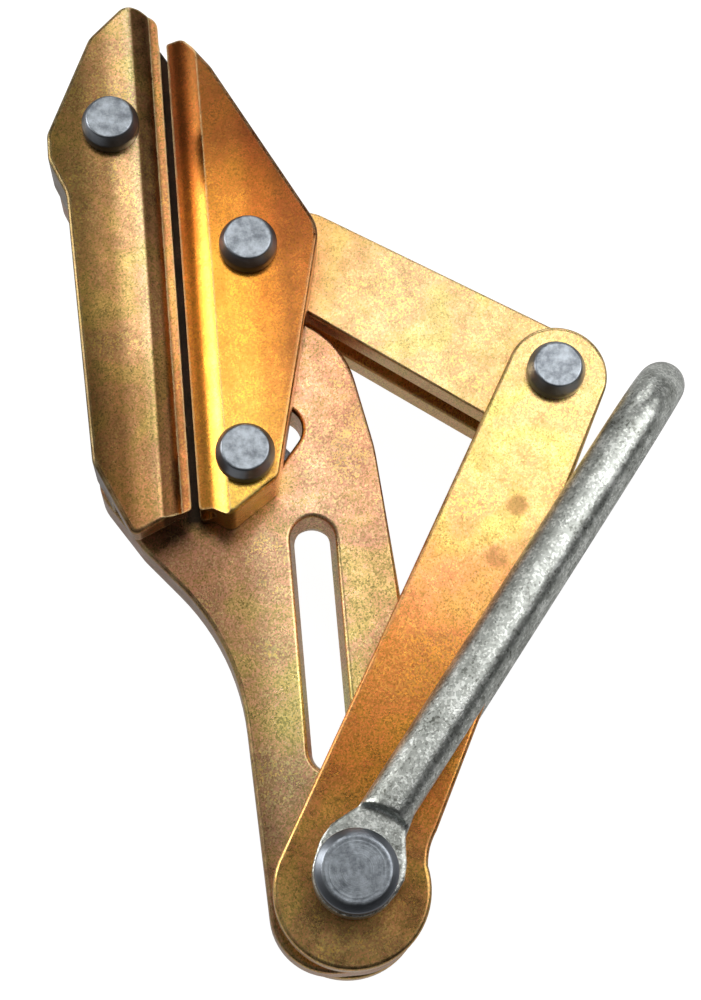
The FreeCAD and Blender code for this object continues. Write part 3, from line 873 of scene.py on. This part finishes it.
def pin_section(head, bottom, top):
    """Half of a pin's outline, from the middle of its back to that of its front."""
    radius, face, shank = head["radius"], head["face"], head["shank"]
    back_rim = bottom + head["back_cone"]
    back_seat = back_rim + head["back_wall"]
    front_rim = top - head["cone"]
    front_seat = front_rim - head["wall"]
    return [
        (0.0, bottom), (face - SUPPORT, bottom), (face, bottom),
        (radius, back_rim), (radius, back_seat), (shank, back_seat),
        (shank, front_seat), (radius, front_seat), (radius, front_rim),
        (face, top), (face - SUPPORT, top), (0.0, top),
    ]


pins = {}
for node, head in HEADS.items():
    low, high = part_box(node)
    section = pin_section(head, low[2] / MM, high[2] / MM)
    mesh = spun(node + "_head", middle_of(node), section)
    pins[node] = placed(node + "_head", mesh, node)
print("lathe pieces", {name: len(piece.data.polygons) for name, piece in pins.items()})

# %% [markdown]
# ## The pull bail, forged
# The bail is one round bar, bent to a U, with a flattened eye at each end that
# turns on the main pin. On a forging the eye flows into the bar without a
# seam. Subdivided faces could be pulled into that shape by hand; here a tube
# and two plates are made in the bail's own frame, with u along the bar from
# the pin's axis, fused into one skin by a voxel remesh, and relaxed a little.
# The bar runs to one side of the eye's centre, as it does in the photograph.

# %% Sizes of the bail
# Millimetres: ROD, EYE, BORE and SHOULDER are radii. EYE_BACK and EYE_FACE are
# how far the eye's two faces stand from the middle plane. REACH runs from the
# pin's axis to the outside of the bend, and SHIFT is the bar's offset.
ROD = 4.95
REACH = 128.5
EYE_BACK = 15.8
EYE_FACE = 21.8
EYE = 8.3
BORE = 6.4
SHOULDER = 12.9
SHIFT = 1.5
LEG_START = 9.3
TURN = math.radians(52.0)
print("bail reaches", REACH, "mm from the main pin, bar", 2 * ROD, "mm thick")


# %% Working shapes
def temp(name, vertices, faces):
    """A working mesh object."""
    mesh = bpy.data.meshes.new(name)
    mesh.from_pydata(vertices, [], faces)
    mesh.validate()
    piece = bpy.data.objects.new(name, mesh)
    bpy.context.scene.collection.objects.link(piece)
    return piece


def prism(name, outline, low, high):
    """A flat outline given a thickness."""
    count = len(outline)
    vertices = [(u, v, low) for u, v in outline] + [(u, v, high) for u, v in outline]
    faces = [[count - 1 - index for index in range(count)], [count + index for index in range(count)]]
    for index in range(count):
        after = (index + 1) % count
        faces.append([index, after, count + after, count + index])
    return temp(name, vertices, faces)


def arc(radius, start, end, steps):
    """Points on a circle round the pin, angles in degrees."""
    angles = [math.radians(start + (end - start) * step / steps) for step in range(steps + 1)]
    return [(radius * math.cos(angle), radius * math.sin(angle)) for angle in angles]


def circle(radius, points=60):
    """A full circle round the pin."""
    return arc(radius, 0, 360 - 360 / points, points - 1)


def modified(piece, kind, **settings):
    """Applies one modifier and keeps the result as the piece's mesh."""
    modifier = piece.modifiers.new(kind, kind)
    for key, value in settings.items():
        setattr(modifier, key, value)
    bpy.context.view_layer.update()
    graph = bpy.context.evaluated_depsgraph_get()
    result = bpy.data.meshes.new_from_object(piece.evaluated_get(graph))
    piece.modifiers.clear()
    piece.data = result
    return piece


def cut(piece, tool):
    """Takes the tool's shape out of the piece, and the tool away."""
    modified(piece, "BOOLEAN", operation="DIFFERENCE", solver="EXACT", object=tool)
    bpy.data.objects.remove(tool)
    return piece


print("a circle has", len(circle(BORE)), "points")

# %% [markdown]
# ### The bent bar
# A curve with a round bevel would make the tube too, but its ends and its
# count of faces are harder to set. Here the centre line is worked out first,
# leg, half circle, leg, and a ring of points is turned to each place on it.


# %% Bar
LEG_STEPS = 12
BEND_STEPS = 24
SIDES = 48


def centre_line():
    """Points of the bar's centre line, each with the angle it has turned."""
    rise = EYE_BACK + ROD
    leg = REACH - ROD - rise
    run = leg - LEG_START
    line = [(LEG_START + run * step / LEG_STEPS, rise, 0.0) for step in range(LEG_STEPS + 1)]
    for step in range(1, BEND_STEPS):
        angle = math.pi * step / BEND_STEPS
        line.append((leg + rise * math.sin(angle), rise * math.cos(angle), angle))
    line += [(leg - run * step / LEG_STEPS, -rise, math.pi) for step in range(LEG_STEPS + 1)]
    return line


def bar():
    """The bent bar as a tube round its centre line."""
    line = centre_line()
    vertices, faces = [], []
    for u, z, bend in line:
        for side in range(SIDES):
            angle = 2 * math.pi * side / SIDES
            out = ROD * math.cos(angle)
            v = SHIFT + ROD * math.sin(angle)
            vertices.append((u + out * math.sin(bend), v, z + out * math.cos(bend)))
    for ring in range(len(line) - 1):
        near, far = ring * SIDES, (ring + 1) * SIDES
        for side in range(SIDES):
            after = (side + 1) % SIDES
            faces.append((near + side, far + side, far + after, near + after))
    last = (len(line) - 1) * SIDES
    faces.append(list(range(SIDES)))
    faces.append([last + SIDES - 1 - side for side in range(SIDES)])
    return temp("bar", vertices, faces)


rod = bar()
print("bar has", len(rod.data.polygons), "faces")

# %% [markdown]
# ### Shoulders and eyes
# Where the bar meets the eye, the forging has a round shoulder that leaves room
# for the pin's head. A disc cut from the outside of both legs gives that step.
# Each eye is a plate with a bore. Its outline is an arc on the far side of the
# pin and a listed neck that narrows to the bar's own width.

# %% Skin of the bail
BEYOND = 40.0
BORE_PAST = 1.0
NECK = [
    (1.2, -8.55), (4.0, -8.4), (6.6, -7.2), (8.8, -5.6), (10.8, -4.3), (15.0, -3.45),
    (15.0, 6.45), (11.0, 6.3), (8.5, 7.5), (5.2, 8.9), (2.4, 9.1), (0.2, 8.75),
]
outline = arc(EYE, 100, 262, 48) + NECK

cut(rod, prism("scoop", circle(SHOULDER), EYE_FACE, BEYOND))
cut(rod, prism("scoop", circle(SHOULDER), -BEYOND, -EYE_FACE))
parts = [rod]
for low, high in ((EYE_BACK, EYE_FACE), (-EYE_FACE, -EYE_BACK)):
    bore = prism("bore", circle(BORE), low - BORE_PAST, high + BORE_PAST)
    parts.append(cut(prism("eye", outline, low, high), bore))

vertices, faces = [], []
for part in parts:
    base = len(vertices)
    vertices += [list(vertex.co) for vertex in part.data.vertices]
    faces += [[base + index for index in polygon.vertices] for polygon in part.data.polygons]
    bpy.data.objects.remove(part)
print("bail skin of", len(parts), "parts and", len(faces), "faces before it is fused")

# %% [markdown]
# ### Fused, relaxed and set in place
# A union of the parts would keep hard seams. The voxel remesh turns them into
# one closed skin instead, and a little smoothing rounds its seams like a
# forging's. Then the bail is turned to its rest angle and moved to the main pin
# and the body's middle plane.

# %% Forged bail
VOXEL = 0.42
SMOOTHING = 0.5
SMOOTHINGS = 4

work = temp("bail_work", vertices, faces)
modified(work, "REMESH", mode="VOXEL", voxel_size=VOXEL)
modified(work, "SMOOTH", factor=SMOOTHING, iterations=SMOOTHINGS)
spin = Matrix.Rotation(TURN, 4, "Z")
seat = Vector((*MAIN_AXIS, MIDDLE_PLANE))
for vertex in work.data.vertices:
    vertex.co = (spin @ vertex.co + seat) * MM
bail_mesh = work.data
bpy.data.objects.remove(work)
bail = placed("forged_bail", bail_mesh, "pull_bail")
print("bail faces", len(bail_mesh.polygons), "box", [round(value, 4) for value in bail.dimensions])

# %% [markdown]
# ## Give each piece its finish
# The CAD nodes stay where the frame put them. Each node, and each piece that
# replaces one, gets the finish of that node, so nothing is left without.

# %% Assign the finishes
finish = {
    "body_plate": plating["body"],
    "fixed_jaw": plating["fixed_jaw"],
    "moving_jaw": plating["moving_jaw"],
    "link_plate_front": plating["link"],
    "link_plate_rear": plating["link"],
    "lever_plate_front": plating["lever"],
    "lever_plate_rear": plating["lever"],
    "pull_bail": galvanised,
    **steel,
}
for name, piece in list(nodes.items()) + list(pins.items()) + [("pull_bail", bail)]:
    piece.data.materials.clear()
    piece.data.materials.append(finish[name])
print("finished", len(finish), "of", len(nodes), "nodes")

# %% [markdown]
# ## Floor
# The grip lies on white paper. Lit paper would have to be very bright to turn
# white, and would throw that light back at the metal. So the paper itself is
# grey, and gets its white from a glow that the camera sees in full, mirrors
# see in part, and nothing else sees. The shadow still falls on it.

# %% Paper floor
FLOOR_SIZE = 3.0
FLOOR_GAP = 0.5 * MM
STUDIO_MIDDLE = (0.03, -0.04, 0.0)
PAPER = [(0.2, (0.28, 0.28, 0.28)), (0.8, (0.32, 0.32, 0.32))]
SEEN_GLOW = 0.955
MIRRORED_GLOW = 0.30

low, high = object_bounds()
floor_place = (STUDIO_MIDDLE[0], STUDIO_MIDDLE[1], low[2] - FLOOR_GAP)
bpy.ops.mesh.primitive_plane_add(size=FLOOR_SIZE, location=floor_place)
floor = bpy.context.object
floor.name = "studio_floor"
paper, tree, shader, place = start_material("Studio paper", metallic=0.0, rough=0.9)
fibre = add(tree, "TexNoise", Scale=900.0, Detail=3.0)
tint = ramp(tree, fibre.outputs[0], PAPER)
shader.inputs["Specular IOR Level"].default_value = 0.1
shader.inputs["Emission Color"].default_value = (1.0, 1.0, 1.0, 1.0)
seen = add(tree, "LightPath")
mirrored = maths(tree, "MULTIPLY", i1=MIRRORED_GLOW)
glow = maths(tree, "MULTIPLY_ADD", i1=SEEN_GLOW)
join(
    tree,
    (place, fibre.inputs["Vector"]),
    (tint.outputs[0], shader.inputs["Base Color"]),
    (seen.outputs["Is Glossy Ray"], mirrored.inputs[0]),
    (mirrored.outputs[0], glow.inputs[2]),
    (seen.outputs["Is Camera Ray"], glow.inputs[0]),
    (glow.outputs[0], shader.inputs["Emission Strength"]),
)
floor.data.materials.append(paper)
print("floor at", round(low[2], 4))

# %% [markdown]
# ## World
# Metal shows what is round it, so an even world would make it look like paint.
# This one is dark low on the right and grows lighter towards the upper left.
# The camera sees plain white instead, past the floor's rim.

# %% Studio world
BRIGHT_SIDE = (-0.62, 0.42, 0.66)
SKY = [
    (0.00, (0.02, 0.02, 0.022)), (0.55, (0.06, 0.06, 0.06)),
    (0.75, (0.12, 0.12, 0.12)), (1.00, (0.30, 0.30, 0.29)),
]

world = bpy.data.worlds.new("Studio")
bpy.context.scene.world = world
world.use_nodes = True
tree = world.node_tree
tree.nodes.clear()
out = tree.nodes.new("ShaderNodeOutputWorld")
back = add(tree, "Background", Color=(1.0, 1.0, 1.0, 1.0), Strength=1.0)
soft = add(tree, "Background", Strength=1.0)
mixer = add(tree, "MixShader")
rays = add(tree, "LightPath")
direction = add(tree, "TexCoord")
aim = vector_maths(tree, "DOT_PRODUCT", i1=BRIGHT_SIDE)
sky = ramp(tree, aim.outputs["Value"], SKY)
join(
    tree,
    (direction.outputs["Generated"], aim.inputs[0]),
    (sky.outputs[0], soft.inputs["Color"]),
    (rays.outputs["Is Camera Ray"], mixer.inputs[0]),
    (soft.outputs[0], mixer.inputs[1]),
    (back.outputs[0], mixer.inputs[2]),
    (mixer.outputs[0], out.inputs["Surface"]),
)
print("world", world.name, "with", len(tree.nodes), "nodes")

# %% [markdown]
# ## Lamps
# Two softboxes hang over the far side, out of the picture, where the flat
# plates mirror them to the camera. The edge between box and dark ceiling lets
# the plates fade from bright gold to brown, as they do in the photograph, which
# one even light wouldn't. Three more lights stand lower, on the left, the right
# and the far side, and draw the bright lines along rims and rounds.


# %% Soft lights
def lamp(name, place, target, power, width, height):
    """A rectangular soft light aimed at a point."""
    light = bpy.data.lights.new(name, "AREA")
    light.shape = "RECTANGLE"
    light.size = width
    light.size_y = height
    light.energy = power
    holder = bpy.data.objects.new(name, light)
    bpy.context.scene.collection.objects.link(holder)
    look = (Vector(target) - Vector(place)).to_track_quat("-Z", "Y")
    holder.matrix_world = Matrix.Translation(place) @ look.to_matrix().to_4x4()
    return holder


lamps = [
    lamp(
        "overhead_box", place=(0.135, 0.235, 0.75), target=(0.135, 0.235, 0.0),
        power=0.58, width=0.27, height=0.32,
    ),
    lamp(
        "fill_box", place=(-0.11, 0.41, 0.75), target=(-0.11, 0.41, 0.0),
        power=0.42, width=0.24, height=0.34,
    ),
    lamp(
        "left_strip", place=(-0.50, 0.20, 0.20), target=STUDIO_MIDDLE,
        power=1.7, width=0.20, height=0.45,
    ),
    lamp(
        "right_light", place=(0.42, 0.02, 0.42), target=STUDIO_MIDDLE,
        power=1.4, width=0.36, height=0.50,
    ),
    lamp(
        "back_strip", place=(0.20, 0.70, 0.28), target=STUDIO_MIDDLE,
        power=0.8, width=0.50, height=0.14,
    ),
]
print("lamps", len(lamps), "power", round(sum(holder.data.energy for holder in lamps), 2), "W")

# %% [markdown]
# ## Camera
# The photograph was taken from about 0.4 m, from the boss's side and nearly
# overhead. Place and direction were fitted to the five pin heads, whose
# centres are known in the CAD and easy to find in the photograph.

# %% Photo camera
CAMERA_PLACE = (0.005846, -0.169376, 0.389611)
CAMERA_RIGHT = (0.995190, -0.090093, 0.038459)
CAMERA_UP = (0.075027, 0.953449, 0.292073)
CAMERA_BACK = (-0.062983, -0.287783, 0.955622)

lens = bpy.data.cameras.new("photo_camera")
lens.sensor_width = 36.0
lens.lens = 72.0
lens.clip_start = 0.01
camera = bpy.data.objects.new("photo_camera", lens)
bpy.context.scene.collection.objects.link(camera)
axes = Matrix((CAMERA_RIGHT, CAMERA_UP, CAMERA_BACK)).transposed()
camera.matrix_world = Matrix.Translation(CAMERA_PLACE) @ axes.to_4x4()
bpy.context.scene.camera = camera
bpy.context.scene.view_settings.view_transform = "Standard"
print("camera at", [round(value, 4) for value in camera.location])
